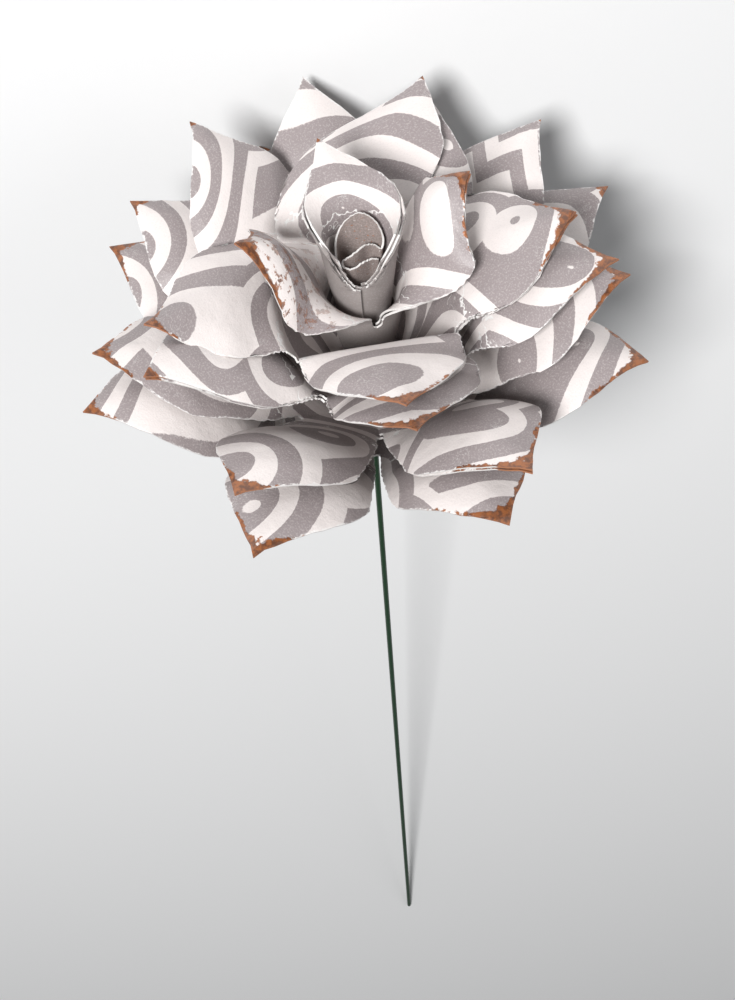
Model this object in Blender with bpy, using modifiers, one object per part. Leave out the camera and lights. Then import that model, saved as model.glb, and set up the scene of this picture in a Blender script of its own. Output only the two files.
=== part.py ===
"""Paper flower on a wire stem, laid down on a table.

The flower is cut from sheets of patterned paper, each with eight petals round one centre.
A whole sheet is the lowest ring. The rings above it have petals cut out and their end petal
glued under the first, which closes each of them into a cone, steeper for each ring further in.
Two petals wrap the bud, and one more is rolled up inside it. The wire runs through the holes
in the middle, and hot glue holds it.

The flower is worked out standing up, with its axis along Z, the lowest ring's centre at the
origin and the stem below. It is then tipped over, onto two back petals and the stem's end.
"""

import math

import bmesh
import bpy
from mathutils import Matrix, Vector

MM = 0.001

# The sheet that every ring is cut from, measured flat from its centre
SHEET_PETALS = 8
PETAL_REACH = 60.0 * MM
SHOULDER_REACH = 40.5 * MM
SHOULDER_HALF_WIDTH = 14.0 * MM
EDGE_BULGE = 2.5 * MM
EDGE_CURL = 40.0 * MM
SLIT_HALF_WIDTH = 0.45 * MM
PAPER = 0.35 * MM
LAP_AIR = 0.35 * MM

# The wire and the glue
WIRE_DIAMETER = 1.2 * MM
WIRE_LENGTH = 300.0 * MM
WIRE_TOP = 25.0 * MM
CLEARANCE = 0.3 * MM
BASE_GLUE_RADIUS = 4.0 * MM
BASE_GLUE_HEIGHT = 3.0 * MM
BUD_GLUE_HEIGHT = 6.0 * MM

# The rolled petal in the middle of the bud
ROLL_TURNS = 1.6
ROLL_RADIUS = 4.1 * MM
ROLL_START_RADIUS = 1.2 * MM
ROLL_HEIGHT = 17.0 * MM
ROLL_BACK_RISE = 4.0 * MM
ROLL_TAPER = 0.4

# How finely each petal is divided
HUB_ROWS = 2
PETAL_ROWS = 5
SPINE_STEPS = 120
ROLL_COLUMNS = 22
ROLL_ROWS = 3
WIRE_SIDES_RESOLUTION = 4
GLUE_SIDES = 16
GLUE_CURVE_STEPS = 3

# share squared times what is left of it peaks at 4/27, and the bulge's peak is EDGE_BULGE
BULGE_SCALE = 27 / 4

HALF_SECTOR = math.pi / SHEET_PETALS
WIRE_RADIUS = WIRE_DIAMETER / 2
LAP = PAPER + LAP_AIR
WELD = PAPER / 50

OFF_WHITE = (0.84, 0.79, 0.78)
TAUPE = (0.27, 0.22, 0.21)
STEM_GREEN = (0.012, 0.045, 0.018)
GLUE_CLEAR = (0.75, 0.72, 0.66)


class Ring:
    """One ring of petals: how it is cut, closed and bent.

    places is how many positions its petals fill; one petal more than that is the glued lap.
    first is the direction of its first petal, in degrees. apex is the height of its cone's
    point and hole the flat radius of its middle hole, both in mm. The other lengths are shares
    of a petal's reach. The petals part at the flat radius slit, and take their own shape over
    part_run from where they start to bend.
    Between flat_start and slit each petal's share of the cone flattens into a plain panel.
    rise, spread and droop are a petal's slopes in degrees: where it starts to bend, which is
    upright beyond slit, after its bend, and at its tip. crown is the radius that a parted petal
    is bowed to across its width.
    """

    def __init__(self, name, petals, places, first, apex, hole, flat_start, slit, bend,
                 rise, spread, droop, crown, part_run=0.167, upright=0.0, columns=3):
        self.name = name
        self.petals = petals
        self.places = places
        self.first = math.radians(first)
        self.apex = apex * MM
        self.hole = hole * MM
        self.flat_start = flat_start * PETAL_REACH
        self.slit = slit * PETAL_REACH
        self.bend = bend * PETAL_REACH
        self.rise = rise
        self.spread = spread
        self.droop = droop
        self.crown = crown * MM
        self.fold = (slit + upright) * PETAL_REACH
        self.part_run = part_run * PETAL_REACH
        self.columns = columns
        self.spacing = 2 * math.pi / places
        self.lean = math.asin(min(1.0, places / SHEET_PETALS))
        self.lap = LAP if petals > places else 0.0
        self.shapes = [Petal() for _ in range(petals)]

    def shape(self, **rows):
        """Give the petals their own values: each row is one value for every petal."""
        for key, values in rows.items():
            for petal, value in zip(self.shapes, values):
                setattr(petal, key, value)


class Petal:
    """What makes one petal differ from the others of its ring: degrees, degrees and mm."""

    turn = 0.0
    stretch = 0.0
    lift = 0.0


def smooth(value):
    """Ease from 0 to 1."""
    value = max(0.0, min(1.0, value))
    return value * value * (3 - 2 * value)


def spine_of(ring, petal):
    """The petal's middle line: distance from the hole, radius, height and slope at each step."""
    reach = PETAL_REACH + petal.stretch * MM
    base = math.pi / 2 - ring.lean
    rise = math.radians(ring.rise)
    spread = math.radians(ring.spread + petal.lift)
    droop = math.radians(ring.droop + petal.lift)
    bend_end = ring.fold + ring.bend
    step = PETAL_REACH / SPINE_STEPS
    radius = 0.0
    height = ring.apex
    points = []
    for index in range(round(reach / step) + 2):
        along = index * step
        slope = base + (rise - base) * smooth((along - ring.hole) / (ring.flat_start - ring.hole))
        slope += (spread - rise) * smooth((along - ring.fold) / ring.bend)
        slope += (droop - spread) * smooth((along - bend_end) / (reach - bend_end))
        points.append((along, radius, height, slope))
        radius += step * math.cos(slope)
        height += step * math.sin(slope)
    return points


def on_spine(points, along):
    """Radius, height and slope at a distance along the middle line."""
    step = points[1][0]
    place = max(0.0, along / step)
    index = min(int(place), len(points) - 2)
    part = place - index
    low, high = points[index], points[index + 1]
    return tuple(a + (b - a) * part for a, b in zip(low[1:], high[1:]))


def curl_under(across, along, depth, reach, foot_reach, radius, side):
    """Roll the paper beyond the line from the petal's tip to its slit round a rod under it."""
    foot = (foot_reach * math.cos(HALF_SECTOR), side * foot_reach * math.sin(HALF_SECTOR))
    line = Vector((foot[0] - reach, foot[1])).normalized()
    outward = Vector((-side * line.y, side * line.x)) * -1
    offset = Vector((along - reach, across))
    distance = offset.dot(outward)
    if distance <= 0:
        return across, along, -depth
    turned = distance / radius
    flat = offset - outward * distance
    rolled = flat + outward * (radius - depth) * math.sin(turned)
    return rolled.y, rolled.x + reach, (radius - depth) * math.cos(turned) - radius


def crowned(sideways, lift, curvature):
    """Bow a petal across its width: down round a cylinder under it, or up if it is negative."""
    if curvature == 0:
        return sideways, lift
    crown = 1 / curvature
    bow = sideways * curvature
    return (crown + lift) * math.sin(bow), (crown + lift) * math.cos(bow) - crown


def bent_point(ring, index, along, across, spine):
    """A point of the flat petal on its bent shape, with the petal pointing along X."""
    petal = ring.shapes[index]
    reach = PETAL_REACH + petal.stretch * MM
    flat_radius = math.hypot(along, across)
    angle = math.atan2(across, along)
    depth = ring.lap * (index + angle / (2 * HALF_SECTOR)) / ring.places
    swing = angle * ring.spacing / (2 * HALF_SECTOR)
    beyond = max(0.0, flat_radius - ring.slit)
    radius, height, slope = on_spine(spine, flat_radius - beyond)
    radius += beyond * math.cos(slope) + depth * math.sin(slope)
    height += beyond * math.sin(slope) - depth * math.cos(slope)
    on_cone = Vector((radius * math.cos(swing), radius * math.sin(swing), height))

    parted = smooth((flat_radius - ring.fold) / ring.part_run)
    side = 1 if across >= 0 else -1
    curled = curl_under(across, along, depth, reach, ring.slit, EDGE_CURL, side)
    curvature = parted / ring.crown
    if ring.places <= 2:
        curvature -= (1 - parted) / (flat_radius * math.sin(ring.lean))
    sideways, lift = crowned(curled[0], curled[2], curvature)
    radius, height, slope = on_spine(spine, curled[1])
    on_panel = Vector((radius - lift * math.sin(slope), sideways, height + lift * math.cos(slope)))
    if ring.places > 2:
        flattened = smooth((flat_radius - ring.flat_start) / (ring.slit - ring.flat_start))
    else:
        flattened = parted
    return on_cone.lerp(on_panel, flattened), parted


def place_point(ring, index, along, across, spine):
    """Where a point of the flat petal ends up on the standing flower.

    Up to where the petals part, both sides of a petal lie on the planes that it shares with
    its neighbours, so that the ring stays one piece.
    """
    flat_radius = math.hypot(along, across)
    angle = math.atan2(across, along)
    point, parted = bent_point(ring, index, along, across, spine)
    side = math.copysign(HALF_SECTOR, angle)
    edge, parted = bent_point(ring, index, flat_radius * math.cos(side),
                              flat_radius * math.sin(side), spine)
    turn = math.radians(ring.shapes[index].turn)
    turn *= smooth((flat_radius - ring.slit) / (PETAL_REACH - ring.slit))
    if ring.places > 2:
        missing = ring.spacing / 2 - abs(math.atan2(edge.y, edge.x))
        turn += missing * (1 - parted) * angle / HALF_SECTOR
    return Matrix.Rotation(ring.first + index * ring.spacing + turn, 3, "Z") @ point


def flat_petal(ring, petal):
    """The flat petal's grid, row by row from the middle hole to the outer edge."""
    reach = PETAL_REACH + petal.stretch * MM
    corner = Vector((SHOULDER_REACH, SHOULDER_HALF_WIDTH))
    tip = Vector((reach, 0))
    bulge = Vector((corner.y, reach - corner.x)).normalized() * EDGE_BULGE
    rows = []
    for row in range(HUB_ROWS + PETAL_ROWS + 1):
        line = []
        for column in range(-ring.columns, ring.columns + 1):
            share = abs(column) / ring.columns
            angle = HALF_SECTOR * column / ring.columns
            inner = Vector((math.cos(angle), math.sin(angle)))
            if row <= HUB_ROWS:
                radius = ring.hole + (ring.slit - ring.hole) * row / HUB_ROWS
                line.append(inner * radius)
                continue
            outer = tip.lerp(corner, share) + bulge * BULGE_SCALE * share ** 2 * (1 - share)
            outer.y -= SLIT_HALF_WIDTH * share
            outer.y *= 1 if column >= 0 else -1
            start = inner * ring.slit
            start.y -= math.copysign(SLIT_HALF_WIDTH * share * min(1, row - HUB_ROWS), column)
            line.append(start.lerp(outer, (row - HUB_ROWS) / PETAL_ROWS))
        rows.append(line)
    return rows


def ring_mesh(ring):
    """All petals of a ring as one open surface, with its printed side up."""
    mesh = bmesh.new()
    for index, petal in enumerate(ring.shapes):
        spine = spine_of(ring, petal)
        grid = []
        for line in flat_petal(ring, petal):
            grid.append([mesh.verts.new(place_point(ring, index, p.x, p.y, spine)) for p in line])
        for low, high in zip(grid, grid[1:]):
            for column in range(len(low) - 1):
                corners = [low[column], high[column], high[column + 1], low[column + 1]]
                if column >= ring.columns:
                    corners = corners[-1:] + corners[:-1]
                mesh.faces.new(corners)
    bmesh.ops.triangulate(mesh, faces=mesh.faces, quad_method="FIXED")
    bmesh.ops.remove_doubles(mesh, verts=mesh.verts, dist=WELD)
    return mesh


def to_object(name, mesh, material, collection, parent):
    """Put a mesh into the scene as one named sub-part."""
    data = bpy.data.meshes.new(name)
    mesh.to_mesh(data)
    mesh.free()
    data.materials.append(material)
    part = bpy.data.objects.new(name, data)
    collection.objects.link(part)
    part.parent = parent
    return part


def add_paper_thickness(part):
    """Thicken an open paper surface on its reverse side."""
    solidify = part.modifiers.new("paper", "SOLIDIFY")
    solidify.thickness = PAPER
    solidify.offset = -1
    return part


def ring_of_petals(ring, material, collection, parent):
    """One folded and glued ring."""
    return add_paper_thickness(to_object(ring.name, ring_mesh(ring), material, collection, parent))


def bud_core_roll(material, collection, parent):
    """The innermost petal, rolled up into a loose spiral that narrows downwards."""
    bottom = WIRE_TOP + CLEARANCE + BUD_GLUE_HEIGHT / 2 + CLEARANCE
    mesh = bmesh.new()
    grid = []
    for row in range(ROLL_ROWS + 1):
        share = row / ROLL_ROWS
        line = []
        for column in range(ROLL_COLUMNS + 1):
            wound = column / ROLL_COLUMNS
            angle = math.pi / 2 + 2 * math.pi * ROLL_TURNS * (1 - wound)
            radius = ROLL_START_RADIUS + (ROLL_RADIUS - ROLL_START_RADIUS) * wound
            radius *= ROLL_TAPER + (1 - ROLL_TAPER) * share
            top = ROLL_HEIGHT + ROLL_BACK_RISE * math.sin(angle) * wound
            line.append(mesh.verts.new((radius * math.cos(angle), radius * math.sin(angle),
                                        bottom + top * share)))
        grid.append(line)
    for low, high in zip(grid, grid[1:]):
        for column in range(ROLL_COLUMNS):
            mesh.faces.new((low[column], low[column + 1], high[column + 1], high[column]))
    return add_paper_thickness(to_object("bud_core_roll", mesh, material, collection, parent))


def turned_piece(name, profile, material, collection, parent):
    """A piece turned round the flower's axis from its outline, listed down its outer side."""
    mesh = bmesh.new()
    corners = [mesh.verts.new((x, 0, z)) for x, z in profile]
    for first, second in zip(corners, corners[1:]):
        mesh.edges.new((first, second))
    if profile[0][0] > 0:
        mesh.edges.new((corners[-1], corners[0]))
    part = to_object(name, mesh, material, collection, parent)
    screw = part.modifiers.new("turn", "SCREW")
    screw.steps = GLUE_SIDES
    screw.render_steps = GLUE_SIDES
    screw.use_merge_vertices = True
    screw.merge_threshold = WELD
    return part


def base_glue(material, collection, parent):
    """The bead of hot glue under the lowest ring, round the wire."""
    top = -PAPER - CLEARANCE
    inner = WIRE_RADIUS + CLEARANCE
    profile = [(inner, top), (BASE_GLUE_RADIUS, top)]
    for step in range(1, GLUE_CURVE_STEPS + 1):
        angle = math.pi / 2 * step / GLUE_CURVE_STEPS
        profile.append((inner + (BASE_GLUE_RADIUS - inner) * math.cos(angle),
                        top - BASE_GLUE_HEIGHT * math.sin(angle)))
    return turned_piece("base_glue", profile, material, collection, parent)


def bud_glue(bud, material, collection, parent):
    """The plug of hot glue in the bud's cone that holds the wire's end."""
    top = WIRE_TOP + CLEARANCE + BUD_GLUE_HEIGHT / 2
    bottom = top - BUD_GLUE_HEIGHT
    inner = WIRE_RADIUS + CLEARANCE
    slope = math.tan(bud.lean)
    margin = LAP + CLEARANCE

    def wall(height):
        return (height - bud.apex) * slope - margin

    profile = [(0, top), (wall(top), top), (wall(bottom), bottom), (inner, bottom),
               (inner, WIRE_TOP + CLEARANCE), (0, WIRE_TOP + CLEARANCE)]
    return turned_piece("bud_glue", profile, material, collection, parent)


def stem_wire(material, collection, parent):
    """The covered wire, straight from inside the bud down to its cut end."""
    curve = bpy.data.curves.new("stem_wire", "CURVE")
    curve.dimensions = "3D"
    curve.bevel_depth = WIRE_RADIUS
    curve.bevel_resolution = WIRE_SIDES_RESOLUTION
    curve.use_fill_caps = True
    spline = curve.splines.new("POLY")
    spline.points.add(1)
    spline.points[0].co = (0, 0, WIRE_TOP, 1)
    spline.points[1].co = (0, 0, WIRE_TOP - WIRE_LENGTH, 1)
    curve.materials.append(material)
    part = bpy.data.objects.new("stem_wire", curve)
    collection.objects.link(part)
    part.parent = parent
    return part


def make_material(name, colour, roughness, metallic=0.0):
    """A plain surface with the sub-part's colour."""
    material = bpy.data.materials.new(name)
    material.use_nodes = True
    shader = material.node_tree.nodes["Principled BSDF"]
    shader.inputs["Base Color"].default_value = (*colour, 1)
    shader.inputs["Roughness"].default_value = roughness
    shader.inputs["Metallic"].default_value = metallic
    return material


def flower_rings():
    """The rings from the lowest to the bud, with what sets single petals apart."""
    outer = Ring("outer_ring", 8, 8, -22.7, apex=0.0, hole=0.9, flat_start=0.133, slit=0.25,
                 bend=0.233, rise=35.0, spread=50.0, droop=-10.0, crown=32.0)
    outer.shape(turn=(4.0, 4.5, 2.0, -2.0, -4.0, -4.5, -1.2, 0.8),
                lift=(5.0, 7.5, 2.0, 2.0, 2.3, 3.0, 1.5, 4.0),
                stretch=(0.5, 4.0, 0.0, 0.0, 1.5, 2.0, 2.0, 0.5))
    second = Ring("second_ring", 8, 7, -61.9, apex=2.8, hole=1.1, flat_start=0.1667, slit=0.34,
                  bend=0.167, rise=45.0, spread=54.0, droop=8.0, crown=28.0)
    second.shape(turn=(0.9, 2.7, 1.6, 7.0, 5.7, -4.3, -5.8, 0.9),
                 lift=(-3.4, 3.3, 3.2, 7.4, -1.6, -5.5, -4.1, -3.4),
                 stretch=(1.2, -0.4, 2.4, 3.7, 0.0, -0.7, -0.4, 1.2))
    third = Ring("third_ring", 6, 5, -148.0, apex=4.6, hole=1.5, flat_start=0.3, slit=0.55,
                 bend=0.167, rise=60.0, spread=33.0, droop=10.0, crown=24.0)
    third.shape(turn=(0.8, -5.5, -5.2, 2.0, -7.6, 0.8), lift=(-6.5, 0.1, -4.3, 0.0, 6.5, -6.5),
                stretch=(1.6, 0.0, 1.9, 1.0, 2.5, 1.6))
    fourth = Ring("fourth_ring", 5, 4, 6.0, apex=7.1, hole=2.0, flat_start=0.3, slit=0.558,
                  bend=0.067, rise=66.0, spread=28.0, droop=12.0, crown=45.0)
    fourth.shape(turn=(-3.5, -26.7, 15.0, 1.3, -3.5), lift=(1.5, 1.7, -4.1, 4.9, 1.5),
                 stretch=(-1.9, 1.2, -0.7, -0.9, -1.9))
    inner = Ring("inner_pair", 3, 2, 15.6, apex=5.8, hole=7.0, flat_start=0.333, slit=0.45,
                 bend=0.233, rise=79.0, spread=66.0, droop=16.0, crown=17.0, part_run=0.217,
                 columns=4)
    inner.shape(turn=(3.0, -1.0, 3.0), lift=(0.0, -1.0, 0.0), stretch=(-5.5, -4.5, -5.5))
    bud = Ring("bud_wrap", 2, 1, 85.0, apex=1.5, hole=19.0, flat_start=0.417, slit=0.667,
               upright=0.05, bend=0.15, rise=83.0, spread=36.0, droop=25.0, crown=22.0,
               part_run=0.267, columns=6)
    bud.shape(turn=(25.0, 25.0))
    return [outer, second, third, fourth, inner, bud]


def lay_down(frame, parts):
    """Tip the flower back until two petals and the stem's end touch the table."""
    bpy.context.view_layer.update()
    graph = bpy.context.evaluated_depsgraph_get()
    points = []
    for part in parts:
        shape = part.evaluated_get(graph)
        mesh = shape.to_mesh()
        points.extend(vertex.co.copy() for vertex in mesh.vertices)
        shape.to_mesh_clear()
    end = WIRE_TOP - WIRE_LENGTH
    reach = [math.atan2(p.y - WIRE_RADIUS, p.z - end) for p in points if p.z > end + WIRE_RADIUS]
    tilt = max(reach)
    turned = Matrix.Rotation(math.pi / 2 - tilt, 4, "X") @ Matrix.Rotation(math.pi, 4, "Z")
    placed = [turned @ p for p in points]
    low = [min(p[axis] for p in placed) for axis in range(3)]
    high = [max(p[axis] for p in placed) for axis in range(3)]
    shift = Vector((-(low[0] + high[0]) / 2, -(low[1] + high[1]) / 2, -low[2]))
    frame.matrix_world = Matrix.Translation(shift) @ turned


def main():
    for old in list(bpy.data.objects):
        bpy.data.objects.remove(old, do_unlink=True)
    collection = bpy.data.collections.new("paper_flower")
    bpy.context.scene.collection.children.link(collection)
    frame = bpy.data.objects.new("flower_frame", None)
    collection.objects.link(frame)

    printed = make_material("printed_paper", OFF_WHITE, 0.6)
    plain = make_material("bud_paper", TAUPE, 0.7)
    green = make_material("stem_cover", STEM_GREEN, 0.45)
    glue = make_material("hot_glue", GLUE_CLEAR, 0.35)

    rings = flower_rings()
    parts = [ring_of_petals(ring, printed, collection, frame) for ring in rings]
    bud = rings[-1]
    parts.append(bud_core_roll(plain, collection, frame))
    parts.append(base_glue(glue, collection, frame))
    parts.append(bud_glue(bud, glue, collection, frame))
    parts.append(stem_wire(green, collection, frame))
    lay_down(frame, parts)
    bpy.context.view_layer.update()


main()
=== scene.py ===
# %% [markdown]
# # A paper flower on a wire stem
#
# The flower is a classic paper rose. Six layers are cut from the same eight-petal sheet,
# closed into steeper and steeper cones, and slipped over each other on a thin green wire.
# The paper is printed with bold bands, and copper paint is dabbed on the petals' tips.
#
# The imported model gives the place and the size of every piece. This script makes the fine
# surfaces: bent petals with cut edges, the rolled bud, the print, the paint and the wear.

import math

import bpy
import numpy as np
from mathutils import Matrix, Vector


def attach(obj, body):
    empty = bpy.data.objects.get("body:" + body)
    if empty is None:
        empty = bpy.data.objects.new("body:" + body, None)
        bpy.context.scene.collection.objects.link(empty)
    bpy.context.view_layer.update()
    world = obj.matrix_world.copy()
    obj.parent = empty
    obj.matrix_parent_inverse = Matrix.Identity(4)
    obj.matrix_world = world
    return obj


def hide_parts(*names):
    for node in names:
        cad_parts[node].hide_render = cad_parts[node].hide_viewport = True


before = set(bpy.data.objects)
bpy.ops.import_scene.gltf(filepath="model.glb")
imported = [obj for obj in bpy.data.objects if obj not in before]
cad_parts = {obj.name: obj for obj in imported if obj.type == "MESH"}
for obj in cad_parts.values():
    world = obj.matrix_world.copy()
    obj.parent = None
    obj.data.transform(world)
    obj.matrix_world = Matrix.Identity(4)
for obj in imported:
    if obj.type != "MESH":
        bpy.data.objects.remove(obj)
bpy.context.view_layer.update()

# %% [markdown]
# ## Where the flower lies
#
# The flower was worked out standing up, with its axis along Z and the lowest layer's centre
# at the origin, and then laid on a table. The wire shows how: its axis is the flower's axis,
# and its upper end lies a known height above the lowest layer's centre. So the wire's two
# ends give the matrix that takes a point of the standing flower to its place on the table.

# %% The standing flower's frame, from the wire
MM = 0.001
WIRE_TOP = 25 * MM

wire_points = [v.co.copy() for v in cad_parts["stem_wire"].data.vertices]
wire_middle = sum((p.y for p in wire_points)) / len(wire_points)
top_ring = [p for p in wire_points if p.y < wire_middle]
end_ring = [p for p in wire_points if p.y > wire_middle]
wire_top = sum(top_ring, Vector()) / len(top_ring)
wire_end = sum(end_ring, Vector()) / len(end_ring)
axis_up = (wire_top - wire_end).normalized()
axis_right = Vector((-1, 0, 0))
axis_back = axis_up.cross(axis_right)
STAND = Matrix.Translation(wire_top - axis_up * WIRE_TOP) @ Matrix(
    (axis_right, axis_back, axis_up)).transposed().to_4x4()
print("wire length, mm:", round((wire_top - wire_end).length / MM, 2),
      " flower centre:", [round(v, 4) for v in STAND.translation])

# %% [markdown]
# ## The camera
#
# The petals' tips in the photograph give the camera: it looks down on the flower's face from
# 55 degrees above the lowest layer's plane, 281 mm from its centre, turned by 5 degrees.
# The flower lies on its side here, so the camera looks down at it along the same line.

# %% Camera
PHOTO = (735, 1000)
FOCAL_PX = 1476
LOOK_DOWN = math.radians(55.4)
CAMERA_ROLL = math.radians(-4.9)
CAMERA_DEPTH = 281.3 * MM
FLOWER_PX = (372.6, 413.9)


def photo_camera():
    """The camera at the photograph's viewing angle, on the flower as it lies."""
    right = Vector((1, 0, 0))
    up = Vector((0, math.sin(LOOK_DOWN), math.cos(LOOK_DOWN)))
    back = Vector((0, -math.cos(LOOK_DOWN), math.sin(LOOK_DOWN)))
    turn = Matrix.Rotation(CAMERA_ROLL, 3, back)
    right, up = turn @ right, turn @ up
    across = (FLOWER_PX[0] - PHOTO[0] / 2) / FOCAL_PX * CAMERA_DEPTH
    down = (FLOWER_PX[1] - PHOTO[1] / 2) / FOCAL_PX * CAMERA_DEPTH
    place = back * CAMERA_DEPTH - right * across + up * down
    data = bpy.data.cameras.new("photo_camera")
    data.sensor_fit = "HORIZONTAL"
    data.sensor_width = 36
    data.lens = FOCAL_PX / PHOTO[0] * data.sensor_width
    data.clip_start = 0.01
    camera = bpy.data.objects.new("photo_camera", data)
    bpy.context.scene.collection.objects.link(camera)
    camera.matrix_world = STAND @ (Matrix.Translation(place)
                                   @ Matrix((right, up, back)).transposed().to_4x4())
    bpy.context.scene.camera = camera
    return camera


camera = photo_camera()
print("camera at", [round(v, 3) for v in camera.matrix_world.translation])

# %% [markdown]
# ## Floor and light
#
# A plain pale floor and soft light keep the eye on the paper. One lamp hangs in front of the
# flower, above and to its right, and a broad weak one opens the shadows on the left. The world
# adds a little even fill, so that the gaps between the layers stay dark.

# %% Stage
FLOOR_SIZE = 3.0
FLOOR_WHITE = (0.86, 0.86, 0.86, 1)
SKY = (0.95, 0.97, 1.0, 1)
SKY_STRENGTH = 0.15
KEY_PLACE, KEY_SIZE, KEY_WATTS = (0.25, -0.55, 0.72), 0.25, 8.0
FILL_PLACE, FILL_SIZE, FILL_WATTS = (-0.6, -0.35, 0.5), 0.5, 0.8


def soft_lamp(name, place, size, watts):
    """An area lamp that looks at the flower's head."""
    data = bpy.data.lights.new(name, "AREA")
    data.shape = "DISK"
    data.size = size
    data.energy = watts
    lamp = bpy.data.objects.new(name, data)
    bpy.context.scene.collection.objects.link(lamp)
    lamp.location = place
    aim = STAND.translation - Vector(place)
    lamp.rotation_euler = aim.to_track_quat("-Z", "Y").to_euler()
    return lamp


bpy.context.scene.view_settings.view_transform = "Standard"
bpy.ops.mesh.primitive_plane_add(size=FLOOR_SIZE)
floor = bpy.context.object
floor.name = "floor"

world = bpy.data.worlds.new("studio")
world.use_nodes = True
world.node_tree.nodes["Background"].inputs["Color"].default_value = SKY
world.node_tree.nodes["Background"].inputs["Strength"].default_value = SKY_STRENGTH
bpy.context.scene.world = world
soft_lamp("key_lamp", KEY_PLACE, KEY_SIZE, KEY_WATTS)
soft_lamp("fill_lamp", FILL_PLACE, FILL_SIZE, FILL_WATTS)
print("floor and two lamps")

# %% [markdown]
# ## Writing materials as sums
#
# A material is a graph of nodes. Wired one by one it is long and hard to read, so here a
# small class stands for a socket, and arithmetic on it adds the Math nodes. Any other node
# comes from one method that takes the node's type, its settings and what goes into it.

# %% Material helpers
class Wire:
    """An output socket: arithmetic on it adds Math nodes."""

    def __init__(self, board, socket):
        self.board = board
        self.socket = socket

    def math(self, operation, *others):
        """A Math node on this wire and the others."""
        return self.board.node("ShaderNodeMath", {"operation": operation},
                               dict(enumerate((self,) + others)))

    def __add__(self, other):
        return self.math("ADD", other)

    def __radd__(self, other):
        return self.math("ADD", other)

    def __sub__(self, other):
        return self.math("SUBTRACT", other)

    def __rsub__(self, other):
        return self.board.node("ShaderNodeMath", {"operation": "SUBTRACT"}, {0: other, 1: self})

    def __mul__(self, other):
        return self.math("MULTIPLY", other)

    def __rmul__(self, other):
        return self.math("MULTIPLY", other)

    def __truediv__(self, other):
        return self.math("DIVIDE", other)

    def step(self, low, high):
        """0 below low, 1 above high, eased between them."""
        return self.board.node("ShaderNodeMapRange", {"interpolation_type": "SMOOTHSTEP"},
                               {0: self, 1: low, 2: high})


class Board:
    """One material and its nodes."""

    def __init__(self, name):
        self.material = bpy.data.materials.new(name)
        self.material.use_nodes = True
        self.tree = self.material.node_tree
        self.shader = self.tree.nodes["Principled BSDF"]

    def node(self, kind, settings, inputs, output=0):
        """Add a node; inputs maps a socket's number or name to a value or a wire."""
        made = self.tree.nodes.new(kind)
        for key, value in settings.items():
            setattr(made, key, value)
        for key, value in inputs.items():
            self.feed(made.inputs[key], value)
        return Wire(self, made.outputs[output])

    def feed(self, socket, value):
        """Link a wire to a socket, or set the socket's value."""
        if isinstance(value, Wire):
            self.tree.links.new(value.socket, socket)
        else:
            socket.default_value = value

    def shade(self, **values):
        """Feed the shader's own sockets; an underscore in a name stands for a space."""
        for key, value in values.items():
            self.feed(self.shader.inputs[key.replace("_", " ")], value)
        return self.material

    def attribute(self, name, output="Fac"):
        return self.node("ShaderNodeAttribute", {"attribute_name": name}, {}, output)

    def noise(self, vector, scale, detail=3.0, roughness=0.5, output=0):
        return self.node("ShaderNodeTexNoise", {},
                         {"Vector": vector, "Scale": scale, "Detail": detail,
                          "Roughness": roughness}, output)

    def mix(self, factor, low, high):
        return self.node("ShaderNodeMix", {"data_type": "RGBA"}, {0: factor, 6: low, 7: high}, 2)

    def bump(self, height, strength, distance):
        return self.node("ShaderNodeBump", {}, {"Height": height, "Strength": strength,
                                                "Distance": distance})


print("helpers: Wire, Board")

# %% [markdown]
# ## The sheet and how it is folded
#
# Each layer is a flat sheet of eight petals with some cut away. Gluing the end petal under
# the first closes it into a cone. Further out the paper flattens into a panel for each
# petal, the petals part along their slits, bend outwards and droop towards their tips.
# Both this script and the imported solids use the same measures, so the layers line up.

# %% Measures of the sheet
SHEET_PETALS = 8
PETAL_REACH = 60 * MM
SHOULDER_REACH = 40.5 * MM
SHOULDER_HALF_WIDTH = 14 * MM
EDGE_BULGE = 2.5 * MM
# share squared times what is left of it peaks at 4/27, and the bulge's peak is EDGE_BULGE
BULGE_SCALE = 27 / 4
EDGE_CURL = 40 * MM
SLIT_HALF_WIDTH = 0.45 * MM
PAPER = 0.35 * MM
LAP = 0.7 * MM
NICK = 0.35 * MM
# How far from the tip the pinched crease runs, and how round its ridge is
PINCH_RUN = 20 * MM
PINCH_ROUND = 0.8 * MM
HALF_SECTOR = math.pi / SHEET_PETALS
HUB_ROWS = 14
PETAL_ROWS = 30
COLUMNS = 12


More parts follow.
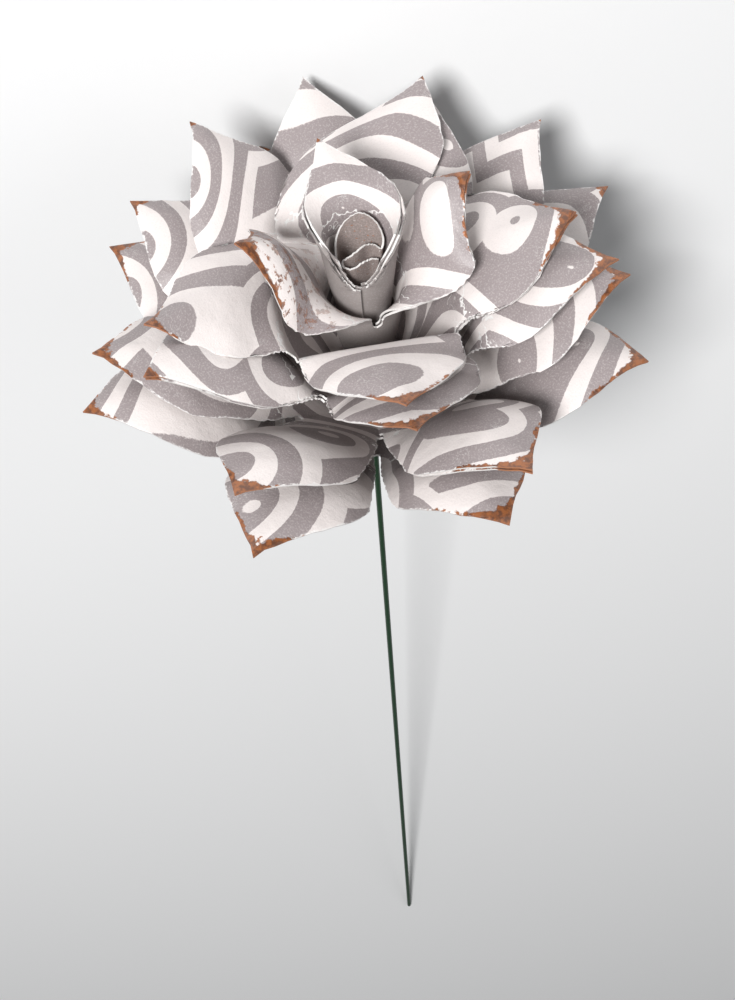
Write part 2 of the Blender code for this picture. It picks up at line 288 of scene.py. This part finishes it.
class Ring:
    """One layer: how it is cut, closed and bent.

    apex, hole and crown are in mm, slopes in degrees, other lengths shares of a petal's reach.
    """

    def __init__(self, name, petals, places, first, apex, hole, flat_start, slit, bend,
                 rise, spread, droop, crown, part_run=0.167, upright=0.0):
        self.name = name
        self.petals = petals
        self.places = places
        self.first = math.radians(first)
        self.apex = apex * MM
        self.hole = hole * MM
        self.flat_start = flat_start * PETAL_REACH
        self.slit = slit * PETAL_REACH
        self.fold = (slit + upright) * PETAL_REACH
        self.bend = bend * PETAL_REACH
        self.slopes = (rise, spread, droop)
        self.part_run = part_run * PETAL_REACH
        self.spacing = 2 * math.pi / places
        self.lean = math.asin(places / SHEET_PETALS)
        self.lap = LAP if petals > places else 0.0
        self.crown = crown * MM
        plain = {"turn": 0.0, "lift": 0.0, "stretch": 0.0, "paint": 0.5, "zigzag": 0.0,
                 "pinch": 0.3}
        self.shapes = [dict(plain) for _ in range(petals)]

    def vary(self, key, *values):
        """Give the petals their own values, in order."""
        for petal, value in zip(self.shapes, values):
            petal[key] = value
        return self

    def reach(self, index):
        """How far a petal's tip lies from the sheet's centre, flat."""
        return PETAL_REACH + self.shapes[index]["stretch"] * MM


def ease(value):
    """0 to 1, with a soft start and end."""
    value = np.clip(value, 0, 1)
    return value * value * (3 - 2 * value)


def middle_line(ring, index):
    """Distance, radius, height and slope along a petal's middle line."""
    petal = ring.shapes[index]
    reach = ring.reach(index)
    along = np.arange(0, reach + 1 * MM, 0.1 * MM)
    base = math.pi / 2 - ring.lean
    rise, spread, droop = (math.radians(v) for v in ring.slopes)
    spread += math.radians(petal["lift"])
    droop += math.radians(petal["lift"])
    bend_end = ring.fold + ring.bend
    slope = base + (rise - base) * ease((along - ring.hole) / (ring.flat_start - ring.hole))
    slope += (spread - rise) * ease((along - ring.fold) / ring.bend)
    slope += (droop - spread) * ease((along - bend_end) / (reach - bend_end))
    step = along[1]
    radius = np.concatenate(([0], np.cumsum(np.cos(slope))[:-1])) * step
    height = ring.apex + np.concatenate(([0], np.cumsum(np.sin(slope))[:-1])) * step
    return along, radius, height, slope


def read_line(line, along):
    """Radius, height and slope of the middle line at a distance along it."""
    return tuple(np.interp(along, line[0], values) for values in line[1:])


print("sheet reach, mm:", PETAL_REACH / MM, " petals on a sheet:", SHEET_PETALS)

# %% Bending a petal
def curl_under(across, along, depth, reach, foot_reach, radius):
    """Roll the paper beyond the line from the tip to the slit round a rod under it."""
    side = np.where(across >= 0, 1.0, -1.0)
    foot = Vector((foot_reach * math.cos(HALF_SECTOR) - reach,
                   foot_reach * math.sin(HALF_SECTOR))).normalized()
    out_x, out_y = foot.y, -side * foot.x
    distance = np.maximum(0, (along - reach) * out_x + across * out_y)
    turned = distance / radius
    rolled = (radius - depth) * np.sin(turned) - distance
    return (across + out_y * rolled, along + out_x * rolled,
            (radius - depth) * np.cos(turned) - radius)


def crowned(sideways, lift, curvature):
    """Bow a petal across its width: down round a cylinder under it, or up if negative."""
    crown = 1 / np.where(np.abs(curvature) < 0.001, 0.001, curvature)
    bow = sideways / crown
    return (crown + lift) * np.sin(bow), (crown + lift) * np.cos(bow) - crown


def bent(ring, index, along, across, line):
    """Points of a flat petal on its bent shape, with the petal pointing along X."""
    flat_radius = np.hypot(along, across)
    angle = np.arctan2(across, along)
    depth = ring.lap * (index + angle / (2 * HALF_SECTOR)) / ring.places
    swing = angle * ring.spacing / (2 * HALF_SECTOR)
    beyond = np.maximum(0, flat_radius - ring.slit)
    radius, height, slope = read_line(line, flat_radius - beyond)
    radius = radius + beyond * np.cos(slope) + depth * np.sin(slope)
    height = height + beyond * np.sin(slope) - depth * np.cos(slope)
    on_cone = np.stack((radius * np.cos(swing), radius * np.sin(swing), height), 1)

    parted = ease((flat_radius - ring.fold) / ring.part_run)
    across, along, lift = curl_under(across, along, depth, ring.reach(index), ring.slit,
                                     EDGE_CURL)
    curvature = parted / ring.crown
    if ring.places <= 2:
        curvature = curvature - (1 - parted) / (flat_radius * math.sin(ring.lean))
    sideways, lift = crowned(across, lift, curvature)
    radius, height, slope = read_line(line, along)
    on_panel = np.stack((radius - lift * np.sin(slope), sideways,
                         height + lift * np.cos(slope)), 1)
    flat = ease((flat_radius - ring.flat_start) / (ring.slit - ring.flat_start))
    if ring.places <= 2:
        flat = parted
    return on_cone + (on_panel - on_cone) * flat[:, None], parted


def placed(ring, index, along, across, line):
    """The bent petal, turned to its place on the standing flower."""
    flat_radius = np.hypot(along, across)
    angle = np.arctan2(across, along)
    points, parted = bent(ring, index, along, across, line)
    side = np.where(angle >= 0, HALF_SECTOR, -HALF_SECTOR)
    edge, _ = bent(ring, index, flat_radius * np.cos(side), flat_radius * np.sin(side), line)
    turn = math.radians(ring.shapes[index]["turn"]) * ease(
        (flat_radius - ring.slit) / (PETAL_REACH - ring.slit))
    if ring.places > 2:
        missing = ring.spacing / 2 - np.abs(np.arctan2(edge[:, 1], edge[:, 0]))
        turn = turn + missing * (1 - parted) * angle / HALF_SECTOR
    turn = turn + ring.first + index * ring.spacing
    cos, sin = np.cos(turn), np.sin(turn)
    return np.stack((points[:, 0] * cos - points[:, 1] * sin,
                     points[:, 0] * sin + points[:, 1] * cos, points[:, 2]), 1)


print("a petal can be bent")

# %% [markdown]
# ## Petals as meshes
#
# A petal starts as a plain grid, as a maker starts with a flat piece of paper. Its points are
# first moved to the cut outline, which gives the UV map of the flat sheet, and then bent.
# The petals of a layer are joined and welded along the paper that they share. Solidify
# gives the paper its thickness, a plain back darkened as painted shade, and a pale cut edge.

# %% Cut outline of a petal
def flat_outline(ring, index, column, row):
    """Flat place of a grid point: column runs from -1 to 1, row from 0 to 1."""
    reach = ring.reach(index)
    share = np.abs(column)
    side = np.where(column >= 0, 1.0, -1.0)
    rows = row * (HUB_ROWS + PETAL_ROWS)
    angle = HALF_SECTOR * share
    hub_radius = ring.hole + (ring.slit - ring.hole) * np.minimum(rows, HUB_ROWS) / HUB_ROWS
    hub_x, hub_y = hub_radius * np.cos(angle), hub_radius * np.sin(angle)
    corner = Vector((SHOULDER_REACH, SHOULDER_HALF_WIDTH))
    bulge = Vector((corner.y, reach - corner.x)).normalized() * EDGE_BULGE * BULGE_SCALE
    rim_x = reach + (corner.x - reach) * share + bulge.x * share ** 2 * (1 - share)
    rim_y = corner.y * share + bulge.y * share ** 2 * (1 - share) - SLIT_HALF_WIDTH * share
    free = np.maximum(0, rows - HUB_ROWS)
    hub_y = hub_y - SLIT_HALF_WIDTH * share * np.minimum(1, free)
    blend = free / PETAL_ROWS
    return hub_x + (rim_x - hub_x) * blend, side * (hub_y + (rim_y - hub_y) * blend), blend


def add_number(mesh, name, values):
    """Store one number for each point of a mesh, for its material to read."""
    layer = mesh.attributes.new(name, "FLOAT", "POINT")
    layer.data.foreach_set("value", np.asarray(values, np.float32))


def hand_cut(ring, index, column, along, across, free):
    """Nick the petal's free edges a little, as scissors and wear leave them."""
    chance = np.random.default_rng(100 * index + ring.places).random((2, len(along)))
    side = (np.abs(column) > 0.999) & (free > 0)
    outer = free > 0.999
    across = across - np.sign(column) * side * chance[0] * NICK
    shrink = 1 - outer * chance[1] * NICK / np.hypot(along, across)
    return along * shrink, across * shrink


def edge_distance(ring, index, column, row, free):
    """Distance to the nearest free edge of the petal, up to 4 mm."""
    width = flat_outline(ring, index, np.ones_like(column), row)[1]
    side = np.where(free > 0, (1 - np.abs(column)) * width, 1)
    outer = (1 - free) * (ring.reach(index) - ring.slit) * 0.6
    return np.minimum(np.minimum(side, outer), 4 * MM)


def wobble(ring, index, along, across, free):
    """Soft unevenness of handled paper, in metres, the same for both petals of a lap."""
    number = index % ring.places + ring.places
    waves = (0.38 * np.sin(along * 210 + number * 1.7) * np.sin(across * 190 + number * 2.9)
             + 0.28 * np.sin(across * 330 + along * 120 + number * 4.1)
             + 0.08 * np.sin(along * 900 + number) * np.sin(across * 800 + number * 5.3))
    return waves * MM * free


def pinched_tip(ring, index, along, across):
    """How far a petal's sides drop beside the crease that was pinched into its tip."""
    number = index % ring.places + ring.places
    steepness = ring.shapes[index]["pinch"] + 0.12 * math.sin(number * 2.3)
    near_tip = ease(1 - np.hypot(ring.reach(index) - along, across) / PINCH_RUN)
    return steepness * near_tip * (np.hypot(across, PINCH_ROUND) - PINCH_ROUND)


def petal_mesh(ring, index):
    """One petal of a layer, bent and in place, with its flat place as its UV map."""
    bpy.ops.mesh.primitive_grid_add(x_subdivisions=2 * COLUMNS,
                                    y_subdivisions=HUB_ROWS + PETAL_ROWS, size=2)
    petal = bpy.context.object
    mesh = petal.data
    grid = np.empty(len(mesh.vertices) * 3, np.float32)
    mesh.vertices.foreach_get("co", grid)
    grid = grid.reshape(-1, 3).astype(float)
    column, row = -grid[:, 0], (grid[:, 1] + 1) / 2
    along, across, free = flat_outline(ring, index, column, row)
    along, across = hand_cut(ring, index, column, along, across, free)
    points = placed(ring, index, along, across, middle_line(ring, index))
    points[:, 2] += wobble(ring, index, along, across, free)
    points[:, 2] -= pinched_tip(ring, index, along, across)
    points = points @ np.array(STAND.to_3x3()).T + np.array(STAND.translation)
    mesh.vertices.foreach_set("co", points.astype(np.float32).ravel())

    turn = index * 2 * HALF_SECTOR
    flat_x = along * math.cos(turn) - across * math.sin(turn)
    flat_y = along * math.sin(turn) + across * math.cos(turn)
    corners = np.empty(len(mesh.loops), np.int32)
    mesh.loops.foreach_get("vertex_index", corners)
    sheet = np.stack((flat_x, flat_y), 1)[corners] / (100 * MM)
    mesh.uv_layers.active.data.foreach_set("uv", sheet.astype(np.float32).ravel())

    tip = np.hypot(along - ring.reach(index), across)
    add_number(mesh, "tip", tip / MM)
    add_number(mesh, "rim", edge_distance(ring, index, column, row, free) / MM)
    add_number(mesh, "fold", (along - ring.fold - ring.bend * 0.4) / MM)
    add_number(mesh, "paint", np.full(len(tip), ring.shapes[index]["paint"]))
    add_number(mesh, "zigzag", np.full(len(tip), ring.shapes[index]["zigzag"]))
    return petal


def join_and_weld(petals, name):
    """Join the petals of a layer and weld the paper that they share."""
    bpy.ops.object.select_all(action="DESELECT")
    for petal in petals:
        petal.select_set(True)
    bpy.context.view_layer.objects.active = petals[0]
    bpy.ops.object.join()
    layer = bpy.context.object
    layer.name = name
    layer.data.name = name
    bpy.ops.object.mode_set(mode="EDIT")
    bpy.ops.mesh.select_all(action="SELECT")
    bpy.ops.mesh.remove_doubles(threshold=0.02 * MM)
    bpy.ops.object.mode_set(mode="OBJECT")
    return layer


def apply_all(piece):
    """Apply a piece's modifiers, in order."""
    bpy.ops.object.select_all(action="DESELECT")
    piece.select_set(True)
    bpy.context.view_layer.objects.active = piece
    for modifier in list(piece.modifiers):
        bpy.ops.object.modifier_apply(modifier=modifier.name)


def thicken(piece):
    """Give an open paper surface its thickness, a back and a cut edge."""
    solidify = piece.modifiers.new("paper", "SOLIDIFY")
    solidify.thickness = PAPER
    solidify.offset = -1
    solidify.material_offset = 1
    solidify.material_offset_rim = 2
    apply_all(piece)
    bpy.ops.object.shade_smooth_by_angle(angle=math.radians(35))
    return piece


print("grid of a petal:", 2 * COLUMNS, "x", HUB_ROWS + PETAL_ROWS)

# %% [markdown]
# ## The printed paper
#
# The paper is warm off-white with warm grey bands that curve and double back. A wave over the
# flat sheet gives them. It runs outwards from points that lie scattered on the sheet, so the
# bands close into rings, and where the rings of two points meet they come to a sharp corner.
# The grey ink is grainy, the paper has fibres, creases crack to white, and the copper paint is
# thin and ragged, thickest at the tips.

# %% Print, back and edge materials
OFF_WHITE = (0.88, 0.81, 0.785, 1)
WARM_GREY = (0.34, 0.292, 0.292, 1)
BARE_WHITE = (0.92, 0.90, 0.88, 1)
PALE_GREY = (0.52, 0.465, 0.46, 1)
SOILED_WHITE = (0.68, 0.625, 0.61, 1)
COPPER = (0.37, 0.115, 0.024, 1)
COPPER_DARK = (0.13, 0.040, 0.012, 1)
# The back's greys are darker than the bare reverse: painted shade under the petals and inside the
# cones
BACK_SHADE_GREY = (0.25, 0.22, 0.21, 1)
# The bud's taupe is the printed grey darkened: painted shade deep inside the bud
SHADED_TAUPE = (0.25, 0.205, 0.19, 1)

# The print, where 1 is 100 mm on the sheet and a wave number is in radians for each of these
WARP_SCALE, WARP = 2.6, 0.16
POINTS_SCALE, POINTS_SCATTER = 3.6, 0.75
RING_WAVE, SHEET_WAVE, SWAY = 18.0, 34.0, 0.9
MORE_INK = 0.05
TOOTH, TOOTH_SLOPE, TOOTH_WAVE = 0.055, 1.1, 62.0

# The copper paint, in mm on a petal with paint 1
PAINTED_TIP, PAINTED_EDGE, EDGE_STROKE = 6.4, 34.0, 1.5


def band_field(board, place, shift):
    """The print's wave field: above 0 in the ink, below 0 on bare paper."""
    warp = board.noise(place, WARP_SCALE, 0.0, 0.0, "Color")
    bent_place = board.node("ShaderNodeVectorMath", {"operation": "MULTIPLY_ADD"},
                            {0: warp, 1: (WARP, WARP, 0.0), 2: place})
    parts = board.tree.nodes.new("ShaderNodeSeparateXYZ")
    board.feed(parts.inputs[0], bent_place)
    x, y = Wire(board, parts.outputs[0]), Wire(board, parts.outputs[1])
    sway = ((x * 21.0 + shift).math("SINE") + (y * 23.0 + shift * 2).math("SINE")
            + ((x + y) * 11.0).math("SINE") * 0.6)
    rings = board.node("ShaderNodeTexVoronoi", {"voronoi_dimensions": "2D"},
                       {"Vector": bent_place, "Scale": POINTS_SCALE,
                        "Randomness": POINTS_SCATTER}, "Distance")
    slanting = x * 0.8 + y * 0.6
    curves = (rings * RING_WAVE + sway * SWAY + slanting * SHEET_WAVE + shift).math("SINE")
    curves = curves + MORE_INK
    teeth = x.math("PINGPONG", TOOTH)
    chevrons = ((y + teeth * TOOTH_SLOPE) * TOOTH_WAVE + shift).math("SINE")
    return curves + (chevrons - curves) * board.attribute("zigzag")


def white_cracks(board, place, ragged):
    """Fine wavy lines where the ink cracked open along the fold, and short ones elsewhere."""
    fold = board.attribute("fold")
    wander = (board.noise(place, 34.0, 2.0, 0.6) - 0.5) * 7.0
    line = 1 - ((fold + wander + ragged * 0.8).math("ABSOLUTE")).step(0.10, 0.30)
    second = 1 - ((fold + wander * 1.6 + 2.6).math("ABSOLUTE")).step(0.05, 0.22)
    along_line = board.noise(place, 26.0, 3.0, 0.6).step(0.37, 0.46)
    second = second * board.noise(place, 31.0, 2.0).step(0.47, 0.53)
    folded = (line * along_line).math("MAXIMUM", second)
    veins = (board.noise(place, 52.0, 5.0, 0.62) - 0.5).math("ABSOLUTE")
    short = (1 - veins.step(0.002, 0.006)) * board.noise(place, 17.0, 2.0).step(0.57, 0.66)
    return folded.math("MAXIMUM", short * 0.75)


def copper_paint(board, place, tip, rim, paint):
    """Where the copper was dabbed: on the tips, thinly along the edges, in specks on a few."""
    blot = board.noise(place, 24.0, 4.0, 0.6) - 0.5
    dabs = board.noise(place, 90.0, 3.0, 0.6)
    at_tip = 1 - (tip / (paint * PAINTED_TIP + 0.5)).math("MINIMUM", 1.0)
    edge_reach = board.noise(place, 6.0, 1.0) * PAINTED_EDGE * paint + 1.0
    on_edge = 1 - rim.step(0.1, EDGE_STROKE)
    at_rim = on_edge * (1 - (tip / edge_reach).step(0.55, 1.0)) * paint
    laid = (at_tip + at_rim * 0.66 + blot * 1.2 + (dabs - 0.5) * 0.8).step(0.42, 0.54)
    specks = (board.noise(place, 48.0, 4.0, 0.7).step(0.53, 0.58) * (1 - tip.step(12.0, 34.0))
              * (1 - rim.step(2.6, 6.5)) * paint.step(0.94, 0.99))
    return laid.math("MAXIMUM", specks * 0.9), dabs


def printed_paper(name, shift):
    """The printed side: bands, grain, fibres, cracks and copper paint."""
    board = Board(name)
    place = board.node("ShaderNodeUVMap", {"uv_map": "UVMap"}, {})
    tip, rim, paint = board.attribute("tip"), board.attribute("rim"), board.attribute("paint")
    ragged = board.noise(place, 170.0, 2.0) - 0.5
    ink = (band_field(board, place, shift) + ragged * 0.22).step(-0.05, 0.05)
    grain = board.noise(place, 300.0, 2.0, 0.7)
    soft = board.noise(place, 14.0, 3.0)
    grey = board.mix(grain.step(0.50, 0.66) * 0.75, WARM_GREY, PALE_GREY)
    white = board.mix(soft * 0.3 + grain.step(0.5, 0.7) * 0.3, OFF_WHITE, SOILED_WHITE)
    colour = board.mix(ink, white, grey)
    frayed = ((1 - (rim + ragged * 1.3).step(0.05, 0.42))
              * board.noise(place, 60.0, 2.0).step(0.36, 0.52))
    worn = white_cracks(board, place, ragged).math("MAXIMUM", frayed * 0.85)
    colour = board.mix(worn, colour, BARE_WHITE)
    laid, dabs = copper_paint(board, place, tip, rim, paint)
    copper = board.mix(dabs.step(0.38, 0.62), COPPER_DARK, COPPER)
    colour = board.mix(laid * 0.93, colour, copper)
    fibres = board.noise(place, 300.0, 4.0, 0.7)
    dents = board.noise(place, 30.0, 3.0, 0.55)
    height = fibres * 0.5 + laid * 0.8 + worn * -0.6 + grain * 0.3 + dents * 3.4
    return board.shade(Base_Color=colour, Roughness=0.40 - laid * 0.04, Metallic=laid * 0.25,
                       Normal=board.bump(height, 0.4, 0.00015))


def back_with_painted_shade():
    """The unprinted reverse: grey-brown paper with fibres, darkened as painted shade under the
    petals and inside the cones.
    """
    board = Board("paper_back_painted_shade")
    place = board.node("ShaderNodeUVMap", {"uv_map": "UVMap"}, {})
    fibres = board.noise(place, 260.0, 4.0, 0.7)
    cloud = board.noise(place, 9.0, 3.0)
    # Both greys of the back are painted shade; only the pale fibres are the paper's own
    colour = board.mix(cloud, BACK_SHADE_GREY, (0.34, 0.305, 0.295, 1))
    colour = board.mix(fibres.step(0.45, 0.8) * 0.4, colour, (0.55, 0.52, 0.50, 1))
    return board.shade(Base_Color=colour, Roughness=0.75, Normal=board.bump(fibres, 0.3, 0.0001))


def cut_edge():
    """The cut edge: bare white fibres, with a little paint near the tips."""
    board = Board("paper_edge")
    place = board.node("ShaderNodeTexCoord", {}, {}, "Object")
    fibres = board.noise(place, 4000.0, 2.0, 0.6)
    tip, paint = board.attribute("tip"), board.attribute("paint")
    painted = ((1 - (tip / (paint * 14.0 + 0.5)).math("MINIMUM", 1.0))
               + (board.noise(place, 300.0, 3.0) - 0.5) * 0.9).step(0.4, 0.5)
    colour = board.mix(fibres, (0.62, 0.59, 0.57, 1), BARE_WHITE)
    colour = board.mix(painted * 0.9, colour, COPPER)
    return board.shade(Base_Color=colour, Roughness=0.8, Normal=board.bump(fibres, 0.4, 0.0001))


# The back material carries painted shade for the undersides and the cones' hidden sides
BACK = back_with_painted_shade()
EDGE = cut_edge()
print("paper materials: print, back and edge")

# %% [markdown]
# ## The layers, from the lowest to the bud
#
# The two lowest layers are nearly whole sheets, and their petals rise and then droop. The
# next two stand steeper and fold outwards further up. The inner pair and the bud's wrap stay
# rolled like the cones that they are. No two petals are bent quite alike.

# %% The layers' shapes
RINGS = [
    Ring("outer_ring", 8, 8, -22.7, apex=0.0, hole=0.9, flat_start=0.133, slit=0.25,
         bend=0.233, rise=35.0, spread=50.0, droop=-10.0, crown=32.0)
    .vary("turn", 4.0, 4.5, 2.0, -2.0, -4.0, -4.5, -1.2, 0.8)
    .vary("lift", 5.0, 7.5, 2.0, 2.0, 2.3, 3.0, 1.5, 4.0)
    .vary("stretch", 0.5, 4.0, 0.0, 0.0, 1.5, 2.0, 2.0, 0.5)
    .vary("paint", 0.9, 0.45, 0.3, 0.4, 0.9, 0.6, 0.9, 0.9),
    Ring("second_ring", 8, 7, -61.9, apex=2.8, hole=1.1, flat_start=0.1667, slit=0.34,
         bend=0.167, rise=45.0, spread=54.0, droop=8.0, crown=28.0)
    .vary("turn", 0.9, 2.7, 1.6, 7.0, 5.7, -4.3, -5.8, 0.9)
    .vary("lift", -3.4, 3.3, 3.2, 7.4, -1.6, -5.5, -4.1, -3.4)
    .vary("stretch", 1.2, -0.4, 2.4, 3.7, 0.0, -0.7, -0.4, 1.2)
    .vary("paint", 0.9, 0.9, 0.1, 0.0, 0.5, 0.8, 0.8, 0.9)
    .vary("zigzag", 0.0, 0.0, 1.0),
    Ring("third_ring", 6, 5, -148.0, apex=4.6, hole=1.5, flat_start=0.3, slit=0.55,
         bend=0.167, rise=60.0, spread=33.0, droop=10.0, crown=24.0)
    .vary("turn", 0.8, -5.5, -5.2, 2.0, -7.6, 0.8)
    .vary("lift", -6.5, 0.1, -4.3, 0.0, 6.5, -6.5)
    .vary("stretch", 1.6, 0.0, 1.9, 1.0, 2.5, 1.6)
    .vary("paint", 0.4, 0.9, 0.9, 0.1, 0.2, 0.4),
    Ring("fourth_ring", 5, 4, 6.0, apex=7.1, hole=2.0, flat_start=0.3, slit=0.558,
         bend=0.067, rise=66.0, spread=28.0, droop=12.0, crown=45.0)
    .vary("turn", -3.5, -26.7, 15.0, 1.3, -3.5)
    .vary("lift", 1.5, 1.7, -4.1, 4.9, 1.5)
    .vary("stretch", -1.9, 1.2, -0.7, -0.9, -1.9)
    .vary("pinch", 0.45, 0.45, 0.45, 0.45, 0.45)
    .vary("paint", 0.8, 0.2, 0.6, 0.8, 0.9),
    Ring("inner_pair", 3, 2, 15.6, apex=5.8, hole=7.0, flat_start=0.333, slit=0.45,
         bend=0.233, rise=79.0, spread=66.0, droop=16.0, crown=17.0, part_run=0.217)
    .vary("turn", 3.0, -1.0, 3.0)
    .vary("lift", 0.0, -1.0, 0.0)
    .vary("stretch", -5.5, -4.5, -5.5)
    .vary("pinch", 0.7, 0.7, 0.7)
    .vary("paint", 0.7, 1.0, 0.5),
    Ring("bud_wrap", 2, 1, 85.0, apex=1.5, hole=19.0, flat_start=0.417, slit=0.667,
         bend=0.15, rise=83.0, spread=36.0, droop=25.0, crown=22.0, part_run=0.267,
         upright=0.05)
    .vary("turn", 25.0, 25.0)
    .vary("paint", 0.15, 0.0),
]

for number, ring in enumerate(RINGS):
    layer = join_and_weld([petal_mesh(ring, i) for i in range(ring.petals)], ring.name + "_paper")
    layer.data.materials.append(printed_paper("printed_" + ring.name, number * 1.3))
    layer.data.materials.append(BACK)
    layer.data.materials.append(EDGE)
    thicken(layer)
    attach(layer, "root")
    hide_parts(ring.name)
    print(layer.name, "with", len(layer.data.polygons), "faces")

# %% [markdown]
# ## The rolled bud, the glue and the wire
#
# One more petal is rolled up in the middle, its grey print painted taupe as shade deep in the
# bud.
# The wire is thin covered steel, and hot glue holds it under the lowest layer and inside the bud.

# %% Plain pieces' materials
def simple_material(name, colour, roughness, grain, depth):
    """One colour with a fine, slightly darker grain."""
    board = Board(name)
    place = board.node("ShaderNodeTexCoord", {}, {}, "Object")
    speck = board.noise(place, grain, 3.0, 0.6)
    dark = tuple(v * 0.8 for v in colour[:3]) + (1,)
    shade = board.mix(speck, dark, colour)
    return board.shade(Base_Color=shade, Roughness=roughness,
                       Normal=board.bump(speck, 0.3, depth))


GREEN = simple_material("green_cover", (0.014, 0.05, 0.02, 1), 0.42, 1800.0, 0.00005)
GLUE = simple_material("hot_glue", (0.62, 0.60, 0.54, 1), 0.3, 500.0, 0.0001)
for node, material in (("stem_wire", GREEN), ("base_glue", GLUE), ("bud_glue", GLUE)):
    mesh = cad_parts[node].data
    mesh.materials.clear()
    mesh.materials.append(material)
floor_board = Board("floor")
floor.data.materials.append(floor_board.shade(Base_Color=FLOOR_WHITE, Roughness=0.9))

# %% [markdown]
# ## The rolled petal in the bud
#
# Seen from above, the innermost petal is a pinched loop with a taller wall behind it. Its
# course is drawn in the flower's plan, with the height of its upper edge at each point, and
# the strip is swept down into the bud's cone.

# %% Rolled petal
CORE_COURSE = ((2.9, -0.9, 42.8), (1.5, -1.1, 43.2), (0.0, -2.0, 43.3), (-1.6, -2.8, 43.0),
               (-2.9, -2.5, 43.2), (-3.1, -1.7, 43.8), (-2.0, -1.2, 44.2), (-0.6, -0.4, 44.6),
               (1.0, 0.9, 44.6), (2.4, 1.1, 44.2), (3.5, 0.4, 44.0), (3.9, 1.5, 45.5),
               (3.0, 2.9, 47.5), (1.2, 3.7, 49.0), (-0.8, 4.0, 48.6), (-2.8, 3.4, 47.0),
               (-3.9, 1.8, 45.4), (-4.1, 0.0, 44.0), (-3.9, -1.6, 42.6), (-2.8, -3.2, 41.4))
CORE_COLUMNS, CORE_ROWS = 150, 26
CORE_FOOT, CORE_TAPER = 28.7, 0.42


def course_at(share):
    """A smooth course through the listed points, at shares of its length from 0 to 1."""
    listed = np.array(CORE_COURSE)
    padded = np.vstack((2 * listed[0] - listed[1], listed, 2 * listed[-1] - listed[-2]))
    place = share * (len(listed) - 1)
    index = np.minimum(place.astype(int), len(listed) - 2)
    part = (place - index)[:, None]
    a, b, c, d = (padded[index + k] for k in range(4))
    return 0.5 * (2 * b + (c - a) * part + (2 * a - 5 * b + 4 * c - d) * part ** 2
                  + (3 * b - a - 3 * c + d) * part ** 3)


def core_paper():
    """Grey print darkened to taupe as painted shade deep in the bud, with copper specks."""
    board = Board("bud_paper")
    place = board.node("ShaderNodeTexCoord", {}, {}, "Object")
    grain = board.noise(place, 3500.0, 3.0, 0.6)
    cloud = board.noise(place, 420.0, 3.0, 0.6)
    # Both taupe tones are the grey print with painted shade; the specks and pale flecks are the
    # paper's own
    colour = board.mix(grain.step(0.35, 0.7), SHADED_TAUPE, (0.36, 0.30, 0.28, 1))
    specks = board.noise(place, 1500.0, 3.0, 0.6).step(0.63, 0.68) * cloud.step(0.45, 0.6)
    colour = board.mix(specks, colour, COPPER)
    pale = board.noise(place, 2200.0, 2.0, 0.6).step(0.70, 0.74)
    colour = board.mix(pale * 0.7, colour, BARE_WHITE)
    return board.shade(Base_Color=colour, Roughness=0.7,
                       Normal=board.bump(grain + cloud * 2.0, 0.4, 0.0001))


def rolled_core():
    """The strip swept along its course, narrowing down into the cone."""
    bpy.ops.mesh.primitive_grid_add(x_subdivisions=CORE_COLUMNS, y_subdivisions=CORE_ROWS, size=2)
    core = bpy.context.object
    core.name = core.data.name = "rolled_bud_core"
    grid = np.empty(len(core.data.vertices) * 3, np.float32)
    core.data.vertices.foreach_get("co", grid)
    grid = grid.reshape(-1, 3).astype(float)
    share, rise = (grid[:, 0] + 1) / 2, (grid[:, 1] + 1) / 2
    top = course_at(share)
    torn = np.random.default_rng(7).random(len(rise)) * 0.25 * (rise > 0.999)
    height = CORE_FOOT + (top[:, 2] - torn - CORE_FOOT) * rise
    narrow = CORE_TAPER + (1 - CORE_TAPER) * rise
    points = np.stack((top[:, 0] * narrow, top[:, 1] * narrow, height), 1) * MM
    points = points @ np.array(STAND.to_3x3()).T + np.array(STAND.translation)
    core.data.vertices.foreach_set("co", points.astype(np.float32).ravel())
    add_number(core.data, "tip", np.full(len(rise), 99.0))
    add_number(core.data, "paint", np.zeros(len(rise)))
    for material in (core_paper(), BACK, EDGE):
        core.data.materials.append(material)
    solidify = core.modifiers.new("paper", "SOLIDIFY")
    solidify.thickness = PAPER
    solidify.offset = 0
    solidify.material_offset = 0
    solidify.material_offset_rim = 2
    apply_all(core)
    bpy.ops.object.shade_smooth_by_angle(angle=math.radians(50))
    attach(core, "root")
    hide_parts("bud_core_roll")
    return core


core = rolled_core()
print(core.name, "with", len(core.data.polygons), "faces")
